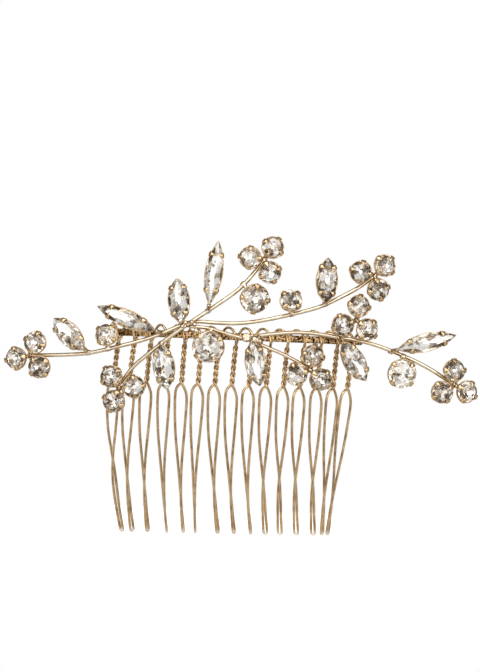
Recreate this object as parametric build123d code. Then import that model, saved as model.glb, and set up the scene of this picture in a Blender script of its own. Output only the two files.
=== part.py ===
from build123d import *
from math import atan, atan2, cos, degrees, pi, radians, sin, tan
import os

# A wire hair comb with a spray of claw-set crystals soldered across its spine.
# Millimetres. The origin is the middle of the spine strip, +X runs along the spine,
# -Y faces away from the head and +Z is up, so the teeth point down.

# ---- spine strip ----
SPINE_BEND = 72.0        # plan radius that the strip is rolled to, bulging to the front
SPINE_LENGTH = 61.0
SPINE_HEIGHT = 1.7
SPINE_THICKNESS = 0.6
EDGE_SHARE = 0.4         # radius of a rounded edge over the thickness of its piece

# ---- teeth: one wire, twisted into columns that open into hairpins ----
TOOTH_COUNT = 15
TOOTH_PITCH = 4.05
WIRE_RADIUS = 0.33
LOOP_RISE = 2.05         # height of the wire over the strip, between two teeth
WRAP_OUT = 0.71          # wire centre in front of or behind the strip
# From a loop to its tooth the wire runs down past the strip: side, distance out, height.
WRAP = ((-1.25, 0.5, 1.75), (-0.68, WRAP_OUT, 0.95),
        (-0.42, WRAP_OUT + 0.01, 0.0), (-0.15, WRAP_OUT, -0.95))
TWIST_TOP = 2.05         # depths are measured down the tooth from the strip's middle
TWIST_BOTTOM = 11.35
TWIST_RADIUS = 0.345
TWIST_TURNS = 3
TIP_DEPTH = 47.8         # wire centre at the middle hairpin's round tip
TIP_SLOPE = -0.085       # each hairpin is this much longer than the one on its left
TIP_HALF_GAP = 0.45
CROWN_RUN = 0.3          # straight wire on each side of a loop's top
CROWN_SLANT = -0.6       # run to the front over run to the right, over the top of a loop
TWIST_STEPS = 8          # straight runs in one turn of the twist
BEND_SHARE = 0.48        # share of a straight run that a bend at its end may use up
TOOTH_BEND = 115.0       # side radius: the teeth curve back towards the scalp
SHOULDER_DEPTH = 14.5    # widest place of the hairpin

# Each tooth has been bent a little to one side: its drift at the shoulder and at the tip.
SHOULDER_DRIFT = (-1.6, -1.6, -1.3, -0.9, -0.7, -0.8, -0.8, -0.8,
                  -0.8, -0.7, -0.6, -0.7, -0.5, -0.6, -1.1)
TIP_DRIFT = (-1.8, -2.6, -2.15, -0.95, -0.45, -1.05, 0.8, 1.15,
             1.6, 1.6, 1.55, 2.0, 2.65, 1.35, -0.75)
# Each hairpin is also turned about its length, so that its right leg passes in front of the left.
TURN_START = 19.0        # depth at which the turn starts; it grows smoothly towards the tip
TIP_TURN = (200, 125, 115, 80, 100, 90, 125, 120, 110, 170, 195, 195, 195, 145, 145)

# Hairpin legs: half the gap, distance in front, depth. The right leg leaves the twist in front.
RIGHT_LEG = ((0.78, 0.14, 12.8), (1.22, 0.0, 14.1), (1.38, 0.0, 15.7), (1.32, 0.0, 18.8))
LEFT_LEG = ((-0.86, -0.16, 12.15), (-1.28, 0.0, 13.1), (-1.4, 0.0, 14.6), (-1.34, 0.0, 18.0))
TAPER = ((1.08, 23.5), (0.76, 28.5), (0.52, 33.5), (0.42, 38.0), (0.4, 43.0))

# ---- spray ----
SPRAY_BEND = 155.0       # plan radius of the whole spray, flatter than the comb
STEM_RADIUS = 0.475
THINNER_STEM = 0.9       # the lower right stem is drawn from thinner wire

# Stem routes: x, z and distance in front of the spray's back surface.
STEM_LEFT = ((-48.0, -6.3, 1.5), (-40.6, -5.9, 1.5), (-34.6, -5.2, 1.5), (-28.6, -3.6, 1.5),
             (-22.7, -1.85, 1.5), (-17.8, 0.05, 1.5), (-12.4, 2.6, 1.55))
STEM_RISING = ((-27.0, -12.0, 1.6), (-23.8, -7.7, 1.9), (-20.3, -4.5, 2.2), (-16.9, -1.55, 2.5),
               (-12.1, 2.2, 2.6), (-5.7, 6.8, 2.3), (0.1, 11.3, 1.9), (3.5, 15.3, 1.6), (5.7, 18.5, 1.5))
STEM_UPPER_RIGHT = ((-12.15, 2.8, 1.55), (-9.0, 3.2, 1.5), (-5.6, 3.1, 1.5), (0.4, 3.2, 1.5),
                    (6.4, 4.2, 1.5), (12.3, 5.7, 1.5), (19.1, 7.8, 1.5), (23.5, 10.0, 1.5),
                    (27.8, 12.5, 1.5), (31.4, 15.2, 1.5))
STEM_LOWER_RIGHT = ((-11.2, 2.0, 1.8), (-6.4, 1.7, 1.7), (-4.0, 1.0, 1.65), (2.6, -0.6, 1.65),
                    (7.4, -2.3, 1.55), (11.5, -3.9, 1.5), (16.8, -6.5, 1.5))
STEM_RIGHT = ((2.4, 0.05, 2.4), (4.5, 0.35, 2.35), (7.7, 0.9, 1.9), (15.2, 1.6, 1.5),
              (24.2, 0.8, 1.5), (31.3, -0.3, 1.5), (39.8, -3.1, 1.5), (45.6, -5.7, 1.5),
              (51.1, -8.9, 1.5))

# ---- crystals ----
GIRDLE = 0.15            # thickness of a crystal's edge
TABLE_SHARE = 0.52       # table size over outline size
HALF_STEEPER = 1.3       # the small girdle facets are this much steeper than the main ones
STAR_FLATTER = 0.5       # the star facets around the table are this much flatter
POINT_GROW = 1.3         # a leaf's points grow this much more than its sides
WASTE_BLOCK = 40.0       # larger than any crystal: the glass ground away by one facet
SMALL = "small"
LARGE = "large"
GREAT = "great"
SHORT = "short leaf"
LONG = "long leaf"
ROUND_RADIUS = {SMALL: 2.5, LARGE: 3.3, GREAT: 3.65}
LEAF_SIZE = {SHORT: (5.35, 2.45), LONG: (7.6, 2.0)}   # half length, half width
CROWN = {SMALL: 0.95, LARGE: 1.15, GREAT: 1.2, SHORT: 0.85, LONG: 0.75}
PAVILION = {SMALL: 2.1, LARGE: 2.6, GREAT: 2.8, SHORT: 1.9, LONG: 1.6}
# Distance of the girdle in front of the spray's back.
GIRDLE_OUT = {SMALL: 3.75, LARGE: 4.2, GREAT: 4.4, SHORT: 3.5, LONG: 3.2}

# ---- claw cups ----
WALL = 0.25
FIT = 0.05               # play between a crystal and its cup or claws
FLOOR = 0.25
CUP_BASE = 0.5           # cup's base over its rim
CUP_RIM = -0.25          # heights of the cup's rim, below the girdle, and of its straight collar's foot
COLLAR_FOOT = -0.6
RIM_GROW = 0.2           # the cup's rim stands this far outside the crystal's edge
LIP_SHARE = 0.6          # the claws are cut from a lip that closes to this share of the outline
CLAW_FOOT = -0.6         # the claws rise from the collar's foot
CLAW_WIDTH = 1.0
CLAW_GAP = 0.22          # claws arch over the crown and rest on its edge
CLAW_REACH = 0.75        # how far a claw folds in over the crystal
CLUSTER_RADIUS = 3.42    # centre of a cluster to the centre of each of its cups

# Leaves: name, kind, stem, place along the stem (0 to 1), heading, reach, tilt.
# The heading is the way the leaf points from its stem, in degrees from +X towards +Z.
LEAVES = (
    ("leaf_left_tip", SHORT, "stem_left", 0.36, 139, 6.6, 10),
    ("leaf_left_long", LONG, "stem_left", 0.845, 160, 9.2, 6),
    ("leaf_lower_left", SHORT, "stem_rising", 0.3, 279, 5.5, 8),
    ("leaf_junction", SHORT, "stem_left", 0.975, 98, 5.8, 10),
    ("leaf_top_long", LONG, "stem_rising", 0.6, 84, 9.05, 6),
    ("leaf_upper_right", SHORT, "stem_upper_right", 0.72, 88, 5.7, 10),
    ("leaf_middle", SHORT, "stem_lower_right", 0.515, 282, 5.25, 8),
    ("leaf_right_low", SHORT, "stem_right", 0.425, 305, 6.8, 8),
    ("leaf_right_long", LONG, "stem_right", 0.675, 15, 9.0, 6),
)

# Buds: single round crystals, with the same columns.
BUDS = (
    ("bud_left", SMALL, "stem_left", 0.49, 100, 3.4, 14),
    ("bud_high", LARGE, "stem_rising", 0.83, 310, 4.3, 14),
    ("bud_upper_right", SMALL, "stem_upper_right", 0.54, 94, 3.3, 16),
    ("bud_low_middle", GREAT, "stem_lower_right", 0.17, 264, 4.4, 14),
    ("bud_right_low", LARGE, "stem_right", 0.735, 270, 4.3, 10),
)

# Clusters of three cups: name, centre x, centre z, heading of the first cup, and its stem.
CLUSTERS = (
    ("cluster_left", -48.7, -6.5, 192, "stem_left"),
    ("cluster_lower_left", -27.2, -13.2, 248, "stem_rising"),
    ("cluster_top", 5.7, 18.5, 56, "stem_rising"),
    ("cluster_upper_right", 31.9, 15.7, 47, "stem_upper_right"),
    ("cluster_mid_right", 28.0, 5.0, 82, "stem_right"),
    ("cluster_lower_right", 17.5, -7.1, -40, "stem_lower_right"),
    ("cluster_right", 51.85, -9.3, -27, "stem_right"),
)
CLUSTER_TILT = 8
CLUSTER_BACK = 1.5       # solder centre of a cluster, in front of the spray's back

# ---- solder ----
NECK_RADIUS = 0.5
NECK_BITE = 0.5          # a neck runs this far past the cup's nearest place, to be trimmed to it
COLLAR_RADIUS = 0.66     # sleeve of solder around a stem
COLLAR_LENGTH = 1.3
SOLDER_GAP = 0.02
STUB_REACH = 2.0         # length of stem on each side of a solder joint that trims it
NECK_TURN = 35           # degrees that a neck is turned about itself
PLACES = 400             # places tried along a stem when the nearest one is looked for
TIE_LENGTH = 1.8         # length of a tie's bead over its radius
TIE_CLEARANCE = 5.0      # a tie is trimmed to the joints whose centres are closer than this
# Beads that tie the spray to the comb and the stems to each other: x, z, front, radius.
TIES = (
    (-11.6, 2.5, 2.1, 0.8),
    (-10.5, 1.3, 0.95, 0.6),
    (-2.5, 0.6, 0.75, 0.55),
    (2.2, -0.1, 2.0, 1.1),
    (9.4, 0.95, 0.8, 0.55),
)


# ---------------------------------------------------------------- comb

def on_spine(along, out, up):
    """Point at a length along the strip, a distance in front of its mid-surface and a height."""
    turn = along / SPINE_BEND
    reach = SPINE_BEND + out
    return Vector(reach * sin(turn), SPINE_BEND - reach * cos(turn), up)


def in_tooth(along, side, out, depth):
    """Point in a tooth: to its side, in front of its curved centreline, and down its length."""
    turn = along / SPINE_BEND
    sweep_back = depth / TOOTH_BEND
    back = TOOTH_BEND - (TOOTH_BEND + out) * cos(sweep_back)
    down = (TOOTH_BEND + out) * sin(sweep_back)
    start = on_spine(along, -back, -down)
    return start + Vector(cos(turn), sin(turn), 0) * side


def spine_strip():
    half_turn = degrees(SPINE_LENGTH / SPINE_BEND / 2)
    section = Plane.XZ * Pos(SPINE_BEND, 0) * Rectangle(SPINE_THICKNESS, SPINE_HEIGHT)
    strip = revolve(section, Axis.Z, 2 * half_turn)
    strip = Rot(0, 0, -90 - half_turn) * strip
    strip = Pos(0, SPINE_BEND, 0) * strip
    ends = strip.edges().filter_by(Axis.Z)
    return fillet(ends, SPINE_THICKNESS * EDGE_SHARE)


def tip_depth(index):
    """Depth of a hairpin's tip: the hairpins get shorter from the left to the right."""
    return TIP_DEPTH + TIP_SLOPE * (index - (TOOTH_COUNT - 1) / 2)


def drift(index, depth):
    """Sideways bend of a tooth: a parabola through the strip, the shoulder and the tip."""
    deepest = tip_depth(index)
    shoulder = SHOULDER_DRIFT[index] / SHOULDER_DEPTH
    tip = TIP_DRIFT[index] / deepest
    curve = (tip - shoulder) / (deepest - SHOULDER_DEPTH)
    slope = shoulder - curve * SHOULDER_DEPTH
    return slope * depth + curve * depth * depth


def hairpin_turn(index, depth):
    """Turn of a hairpin about its length, in radians: none at the shoulder, full at the tip."""
    share = (depth - TURN_START) / (tip_depth(index) - TURN_START)
    return radians(TIP_TURN[index]) * share * share * (3 - 2 * share)


def strand(index, along, front):
    """Half of a tooth's wire, from the crown of a loop down to the start of the round tip."""
    sign = 1 if front else -1
    crown = on_spine(along - sign * TOOTH_PITCH / 2, 0, LOOP_RISE)
    lead = crown_direction(along - sign * TOOTH_PITCH / 2) * (sign * CROWN_RUN)
    points = [crown, crown + lead]
    for side, out, up in WRAP:
        points.append(on_spine(along + sign * side, sign * out, up))
    steps = TWIST_STEPS * TWIST_TURNS
    for step in range(steps + 1):
        angle = 2 * pi * TWIST_TURNS * step / steps
        depth = TWIST_TOP + (TWIST_BOTTOM - TWIST_TOP) * step / steps
        side = drift(index, depth) + sign * TWIST_RADIUS * sin(angle)
        points.append(in_tooth(along, side, sign * TWIST_RADIUS * cos(angle), depth))
    for side, out, depth in (RIGHT_LEG if front else LEFT_LEG):
        points.append(in_tooth(along, drift(index, depth) + side, out, depth))
    for half_gap, depth in TAPER + ((TIP_HALF_GAP, tip_depth(index)),):
        turn = hairpin_turn(index, depth)
        side = drift(index, depth) + sign * half_gap * cos(turn)
        points.append(in_tooth(along, side, sign * half_gap * sin(turn), depth))
    return points


def wire_path(points):
    """Straight runs through some points, joined by the largest tangent arcs that suit them."""
    bends = []
    for before, here, after in zip(points, points[1:], points[2:]):
        turn = radians((here - before).get_angle(after - here))
        shorter = min((here - before).length, (after - here).length)
        bends.append(BEND_SHARE * shorter / tan(turn / 2))
    return FilletPolyline(*points, radius=bends)


def tube(path, radius):
    """A round wire along a path."""
    return sweep(Plane(origin=path @ 0, z_dir=path % 0) * Circle(radius), path=path)


def tooth(index):
    """One tooth's wire: down the front strand, round the tip and up the back strand."""
    along = (index - (TOOTH_COUNT - 1) / 2) * TOOTH_PITCH
    front = strand(index, along, True)
    back = strand(index, along, False)
    return tube(wire_path(front + back[::-1]), WIRE_RADIUS)


def crown_direction(along):
    """Way the wire runs over the top of a loop: to the right and to the front."""
    turn = along / SPINE_BEND + atan(CROWN_SLANT)
    return Vector(cos(turn), sin(turn), 0)


# ---------------------------------------------------------------- spray

def in_spray(x, z, out):
    """Point of the spray, which is bent back to follow the head."""
    return Vector(x, x * x / (2 * SPRAY_BEND) - out, z)


def spray_plane(x, z, out, heading, tilt):
    """Plane of a crystal: its x axis points along the heading, its z axis out of the table."""
    turn = atan(x / SPRAY_BEND)
    along = Vector(cos(turn), sin(turn), 0)
    front = Vector(sin(turn), -cos(turn), 0)
    way = along * cos(radians(heading)) + Vector(0, 0, 1) * sin(radians(heading))
    table = front * cos(radians(tilt)) + way * sin(radians(tilt))
    long_axis = way * cos(radians(tilt)) - front * sin(radians(tilt))
    return Plane(origin=in_spray(x, z, out), x_dir=long_axis, z_dir=table)


def stem_path(route):
    return wire_path([in_spray(*point) for point in route])


# ---------------------------------------------------------------- crystals

def outline(kind, grow=0.0, share=1.0):
    """Outline of a crystal, scaled by a share and then grown on all sides."""
    if kind in ROUND_RADIUS:
        return Circle(ROUND_RADIUS[kind] * share + grow)
    half_length, half_width = LEAF_SIZE[kind]
    half_length = half_length * share + POINT_GROW * grow
    half_width = half_width * share + grow
    upper = ThreePointArc((-half_length, 0), (0, half_width), (half_length, 0))
    lower = ThreePointArc((half_length, 0), (0, -half_width), (-half_length, 0))
    return make_face(upper + lower)


def arc_of(kind):
    """Radius of a leaf's side arcs, and the half angle that each one spans."""
    half_length, half_width = LEAF_SIZE[kind]
    radius = (half_length**2 + half_width**2) / (2 * half_width)
    return radius, degrees(atan2(half_length, radius - half_width))


def extent(kind, direction):
    """Distance from the centre to the line that touches the outline square to a direction."""
    if kind in ROUND_RADIUS:
        return ROUND_RADIUS[kind]
    radius, half_angle = arc_of(kind)
    half_length, half_width = LEAF_SIZE[kind]
    steep = abs(sin(radians(direction)))
    if steep < cos(radians(half_angle)):
        return half_length * abs(cos(radians(direction)))
    return radius - (radius - half_width) * steep


def facet_directions(kind):
    """Headings of the main facets and of the smaller ones between them."""
    if kind in ROUND_RADIUS:
        mains = [45 * step for step in range(8)]
        halves = [11.25 + 22.5 * step for step in range(16)]
        return mains, halves, [22.5 + 45 * step for step in range(8)]
    half_angle = arc_of(kind)[1]
    mains = [0, 180]
    halves = []
    for side in (90, 270):
        mains += [side + half_angle * share for share in (-0.62, 0, 0.62)]
        halves += [side + half_angle * share for share in (-0.95, -0.31, 0.31, 0.95)]
    return mains, halves, halves


def facet(solid, direction, distance, height, rise, run):
    """Grind one flat facet: it starts at a distance and height and climbs inward by rise over run."""
    turn = radians(direction)
    across = Vector(cos(turn), sin(turn), 0)
    normal = across * abs(rise) + Vector(0, 0, run if rise > 0 else -run)
    start = across * distance + Vector(0, 0, height)
    plane = Plane(origin=start, x_dir=Vector(-sin(turn), cos(turn), 0), z_dir=normal)
    sizes = (WASTE_BLOCK, WASTE_BLOCK, WASTE_BLOCK)
    waste = plane * Box(*sizes, align=(Align.CENTER, Align.CENTER, Align.MIN))
    return solid - waste


def crystal(kind):
    """A cut crystal, with its girdle at z = 0 and its table towards +Z."""
    crown = CROWN[kind]
    pavilion = PAVILION[kind]
    top = GIRDLE + crown
    solid = Pos(0, 0, -pavilion) * extrude(outline(kind), pavilion + top)
    mains, halves, stars = facet_directions(kind)
    for direction in mains:
        run = extent(kind, direction)
        solid = facet(solid, direction, run, GIRDLE, crown, run * (1 - TABLE_SHARE))
        solid = facet(solid, direction, run, 0, -pavilion, run)
    for direction in halves:
        run = extent(kind, direction)
        solid = facet(solid, direction, run, GIRDLE, crown * HALF_STEEPER, run * (1 - TABLE_SHARE))
        solid = facet(solid, direction, run, 0, -pavilion * HALF_STEEPER, run)
    for direction in stars:
        run = extent(kind, direction)
        edge = run * TABLE_SHARE
        solid = facet(solid, direction, edge, top, crown * STAR_FLATTER, run * (1 - TABLE_SHARE))
    return solid


# ---------------------------------------------------------------- claw cups

def claw_headings(kind, first):
    """The way that each claw faces, square to the cup's rim."""
    if kind in ROUND_RADIUS:
        return [first + 90 * step for step in range(4)]
    half_angle = arc_of(kind)[1]
    return [side + half_angle * share for side in (90, 270) for share in (-0.55, 0.55)]


def tongue(kind, heading, inward):
    """Plan shape of a claw: a strip with a rounded end, reaching in from the cup's rim."""
    turn = radians(heading)
    if kind in ROUND_RADIUS:
        rim = Vector(cos(turn), sin(turn), 0) * ROUND_RADIUS[kind]
    else:
        radius = arc_of(kind)[0]
        centre = (radius - LEAF_SIZE[kind][1]) * (-1 if sin(turn) > 0 else 1)
        rim = Vector(radius * cos(turn), radius * sin(turn) + centre, 0)
    width = CLAW_WIDTH
    shape = Rectangle(2 * inward - width, width) + Pos(width / 2 - inward, 0) * Circle(width / 2)
    return Pos(rim.X, rim.Y) * Rot(0, 0, heading) * shape


def bowl(kind, grow, foot, top):
    """A flared bowl from its foot up to the collar's foot, and a straight collar up to the top."""
    base = Pos(0, 0, foot) * outline(kind, grow, CUP_BASE)
    flare = loft([base, Pos(0, 0, COLLAR_FOOT) * outline(kind, grow)])
    return flare + Pos(0, 0, COLLAR_FOOT) * extrude(outline(kind, grow), top - COLLAR_FOOT)


def cup_form(kind):
    """The cup's outer form, filled in."""
    return bowl(kind, RIM_GROW, -PAVILION[kind] - FIT - FLOOR, CUP_RIM)


def cup(kind, first=45):
    """A thin stamped cup around a crystal, with four claws folded over its edge."""
    body = cup_form(kind) - bowl(kind, RIM_GROW - WALL, -PAVILION[kind] - FIT, CUP_RIM + 1)
    slope = CROWN[kind] / (1 - TABLE_SHARE)      # rise of the crown for a full share of the outline
    over = GIRDLE + slope * (1 - LIP_SHARE) + CLAW_GAP
    skin = loft([
        Pos(0, 0, CLAW_FOOT) * outline(kind, FIT + WALL),
        Pos(0, 0, GIRDLE + FIT) * outline(kind, FIT + WALL),
        Pos(0, 0, over + WALL) * outline(kind, FIT + WALL, LIP_SHARE),
    ], ruled=True)
    space = loft([
        Pos(0, 0, CLAW_FOOT - WALL) * outline(kind, FIT),
        Pos(0, 0, GIRDLE + FIT) * outline(kind, FIT),
        Pos(0, 0, over) * outline(kind, FIT, LIP_SHARE),
        Pos(0, 0, over + 4 * WALL) * outline(kind, FIT, LIP_SHARE * 0.9),
    ], ruled=True)
    lip = skin - space
    for heading in claw_headings(kind, first):
        taller_than_cup = 2 * (PAVILION[kind] + CROWN[kind])
        claw = extrude(tongue(kind, heading, CLAW_REACH), taller_than_cup, both=True)
        body = body + (lip & claw)
    return body


# ---------------------------------------------------------------- solder

def neck(root, form):
    """A solder neck from a point on a stem to the nearest place on a cup."""
    touch = form.distance_to_with_closest_points(Vertex(*root))[1]
    line = touch - root
    length = line.length + NECK_BITE
    rod = Pos(0, 0, length / 2) * Rot(0, 0, NECK_TURN) * Cylinder(NECK_RADIUS, length)
    return Plane(origin=root, z_dir=line) * rod


def nearest_place(path, point):
    """Share of the way along a path at which it passes closest to a point."""
    places = [step / PLACES for step in range(PLACES + 1)]
    return min(places, key=lambda place: (path @ place - point).length)


def bead(plane, radius, length):
    """A round-edged pellet of solder, along a plane's axis."""
    pellet = Cylinder(radius, length)
    return plane * fillet(pellet.edges().filter_by(GeomType.CIRCLE), EDGE_SHARE * min(radius, length / 2))


def collar(path, root):
    """A sleeve of solder around a stem."""
    place = nearest_place(path, root)
    return bead(Plane(origin=root, z_dir=path % place), COLLAR_RADIUS, COLLAR_LENGTH)


def stub(stem, point):
    """A short straight length of a stem at its nearest place to a point, to trim solder to."""
    path, radius = stem
    place = nearest_place(path, point)
    behind = min(STUB_REACH, place * path.length)
    ahead = min(STUB_REACH, (1 - place) * path.length)
    middle = Pos(0, 0, (ahead - behind) / 2)
    rod = Cylinder(radius + SOLDER_GAP, behind + ahead)
    return Plane(origin=path @ place, z_dir=path % place) * middle * rod


def trimmed(bead, bodies):
    """What is left of a bead around the pieces that it holds."""
    for body in bodies:
        bead = bead - body
    return max(bead.solids(), key=lambda solid: solid.volume)


# ---------------------------------------------------------------- assembly

def set_crystal(stem_edge, place, heading, reach):
    """Where a crystal's centre lies: a reach away from a place along its stem."""
    root = stem_edge @ place
    x = root.X + reach * cos(radians(heading)) * cos(atan(root.X / SPRAY_BEND))
    return x, root.Z + reach * sin(radians(heading))


def build_stems():
    """Path and radius of each stem."""
    routes = {
        "stem_left": (STEM_LEFT, STEM_RADIUS),
        "stem_rising": (STEM_RISING, STEM_RADIUS),
        "stem_upper_right": (STEM_UPPER_RIGHT, STEM_RADIUS),
        "stem_lower_right": (STEM_LOWER_RIGHT, STEM_RADIUS * THINNER_STEM),
        "stem_right": (STEM_RIGHT, STEM_RADIUS),
    }
    return {name: (stem_path(route), radius) for name, (route, radius) in routes.items()}


def build_spray(nodes, strip):
    stems = build_stems()
    for name, (path, radius) in stems.items():
        nodes[name] = tube(path, radius)
    stones = {kind: crystal(kind) for kind in CROWN}
    cups = {kind: cup(kind) for kind in CROWN}
    forms = {kind: cup_form(kind) for kind in CROWN}
    cluster_cup = cup(SMALL, first=0)
    beads = []
    bud_crystals = []
    for name, kind, stem_name, place, heading, reach, tilt in LEAVES + BUDS:
        path = stems[stem_name][0]
        x, z = set_crystal(path, place, heading, reach)
        seat = spray_plane(x, z, GIRDLE_OUT[kind], heading, tilt).location
        nodes[name + "_setting"] = seat * cups[kind]
        stone = seat * stones[kind]
        if kind in LEAF_SIZE:
            nodes[name + "_crystal"] = stone
        else:
            bud_crystals.append(stone)
        form = seat * forms[kind]
        root = path @ place
        beads.append(trimmed(collar(path, root) + neck(root, form), [form, stub(stems[stem_name], root)]))
    nodes["bud_crystals"] = Compound(children=bud_crystals)
    for name, x, z, heading, stem_name in CLUSTERS:
        seats = []
        for way in (heading, heading + 120, heading + 240):
            cup_x = x + CLUSTER_RADIUS * cos(radians(way))
            cup_z = z + CLUSTER_RADIUS * sin(radians(way))
            seats.append(spray_plane(cup_x, cup_z, GIRDLE_OUT[SMALL], way, CLUSTER_TILT).location)
        nodes[name + "_settings"] = Compound(children=[seat * cluster_cup for seat in seats])
        nodes[name + "_crystals"] = Compound(children=[seat * stones[SMALL] for seat in seats])
        held = [seat * forms[SMALL] for seat in seats]
        middle = in_spray(x, z, CLUSTER_BACK)
        blob = collar(stems[stem_name][0], middle)
        for form in held:
            blob = blob + neck(middle, form)
        beads.append(trimmed(blob, held + [stub(stems[stem_name], middle)]))
    for x, z, front, radius in TIES:
        point = in_spray(x, z, front)
        pellet = bead(Plane(origin=point, z_dir=Vector(0, 1, 0)), radius, TIE_LENGTH * radius)
        near = [stub(stem, point) for stem in stems.values()]
        near += [other for other in beads if (other.center() - point).length < TIE_CLEARANCE]
        beads.append(trimmed(pellet, [strip] + near))
    nodes["solder_joints"] = Compound(children=beads)


def main():
    nodes = {"spine_strip": spine_strip()}
    for index in range(TOOTH_COUNT):
        nodes["tooth_%02d" % (index + 1)] = tooth(index)
    build_spray(nodes, nodes["spine_strip"])
    os.makedirs("parts", exist_ok=True)
    for name, shape in nodes.items():
        export_step(shape, os.path.join("parts", name + ".step"))


if __name__ == "__main__":
    main()
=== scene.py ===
from math import atan, atan2, cos, degrees, pi, radians, sin, sqrt

import bmesh
import bpy
import numpy as np
from mathutils import Matrix, Vector, noise


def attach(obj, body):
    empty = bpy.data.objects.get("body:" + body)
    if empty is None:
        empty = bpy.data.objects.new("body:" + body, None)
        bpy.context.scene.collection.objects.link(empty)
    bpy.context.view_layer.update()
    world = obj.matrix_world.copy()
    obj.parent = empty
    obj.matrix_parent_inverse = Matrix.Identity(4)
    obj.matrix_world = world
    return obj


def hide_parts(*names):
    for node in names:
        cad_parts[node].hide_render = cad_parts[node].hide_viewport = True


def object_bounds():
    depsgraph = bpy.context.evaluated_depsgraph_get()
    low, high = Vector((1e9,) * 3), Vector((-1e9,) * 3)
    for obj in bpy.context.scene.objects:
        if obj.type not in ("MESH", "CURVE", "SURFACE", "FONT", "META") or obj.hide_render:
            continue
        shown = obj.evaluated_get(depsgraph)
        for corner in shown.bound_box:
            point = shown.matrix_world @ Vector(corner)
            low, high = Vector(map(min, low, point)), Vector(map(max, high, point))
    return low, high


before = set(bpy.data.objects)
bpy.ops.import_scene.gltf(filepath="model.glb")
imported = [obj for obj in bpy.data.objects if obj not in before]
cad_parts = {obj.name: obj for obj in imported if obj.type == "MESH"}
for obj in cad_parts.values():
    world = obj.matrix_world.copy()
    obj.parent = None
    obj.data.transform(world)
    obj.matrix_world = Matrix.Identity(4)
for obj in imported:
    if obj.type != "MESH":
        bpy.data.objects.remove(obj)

# The look of the wire hair comb. Lengths in this file are millimetres, as in the part's
# own source, and MM turns them into Blender's metres when a mesh is made.
MM = 0.001
cad_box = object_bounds()

# ---- strip ----
SPINE_BEND = 72.0        # radius of its curve, seen from above
SPINE_LENGTH = 61.0
SPINE_HEIGHT = 1.7
SPINE_THICKNESS = 0.6
SPINE_EDGE = 0.14        # radius of its long edges
SPINE_END = 0.25         # length of its rounded ends
END_SIZE, END_SWELL = 0.7, 0.3    # share of the section left at an end, and the rest of it
SPINE_RINGS = 180
WAVE = 0.012             # unevenness of its faces
WAVE_PACE = (0.9, 2.0, 1.5)    # how fast that changes: along, out, up

# ---- comb: the same driving dimensions as the part ----
TOOTH_COUNT = 15
TOOTH_PITCH = 4.05
WIRE_RADIUS = 0.33
WIRE_SPACING = 0.16      # from one ring of points to the next
LOOP_RISE = 2.05         # height of a loop's crown
CROWN_SLANT = -0.6       # slope of the wire at the crown, seen from above
CROWN_RUN = 0.3
WRAP_OUT = 0.71
# the wire on its way past the strip: side, out, up
WRAP = ((-1.25, 0.5, 1.75), (-0.68, WRAP_OUT, 0.95), (-0.42, WRAP_OUT + 0.01, 0.0),
        (-0.15, WRAP_OUT, -0.95))
TWIST_TOP = 2.05
TWIST_BOTTOM = 11.35
TWIST_RADIUS = 0.345
TWIST_TURNS = 3
TWIST_STEPS = 16         # points to a turn
# the legs below the twist: side, out, depth
RIGHT_LEG = ((0.78, 0.14, 12.8), (1.22, 0.0, 14.1), (1.38, 0.0, 15.7), (1.32, 0.0, 18.8))
LEFT_LEG = ((-0.86, -0.16, 12.15), (-1.28, 0.0, 13.1), (-1.4, 0.0, 14.6), (-1.34, 0.0, 18.0))
# the long part of a hairpin: half gap between the legs, depth
TAPER = ((1.08, 23.5), (0.76, 28.5), (0.52, 33.5), (0.42, 38.0), (0.4, 43.0))
TIP_DEPTH = 47.8         # of the middle tooth
TIP_SLOPE = -0.085       # change of that from one tooth to the next
TIP_HALF_GAP = 0.45
TIP_STEPS = 8
# from TURN_START to its tip each hairpin turns about its length, by these angles
TURN_START = 19.0
TIP_TURN = (200, 125, 115, 80, 100, 90, 125, 120, 110, 170, 195, 195, 195, 145, 145)
TOOTH_BEND = 115.0       # radius of the teeth's curve to the back
# how far each tooth leans to the right at its shoulder and at its tip
SHOULDER_DEPTH = 14.5
SHOULDER_DRIFT = (-1.6, -1.6, -1.3, -0.9, -0.7, -0.8, -0.8, -0.8, -0.8, -0.7, -0.6, -0.7, -0.5,
                  -0.6, -1.1)
TIP_DRIFT = (-1.8, -2.6, -2.15, -0.95, -0.45, -1.05, 0.8, 1.15, 1.6, 1.6, 1.55, 2.0, 2.65, 1.35,
             -0.75)
TIP_GLINT_LENGTH = 1.6       # a painted glint: the plating of a tooth is painted pale over this much of its tip
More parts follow.
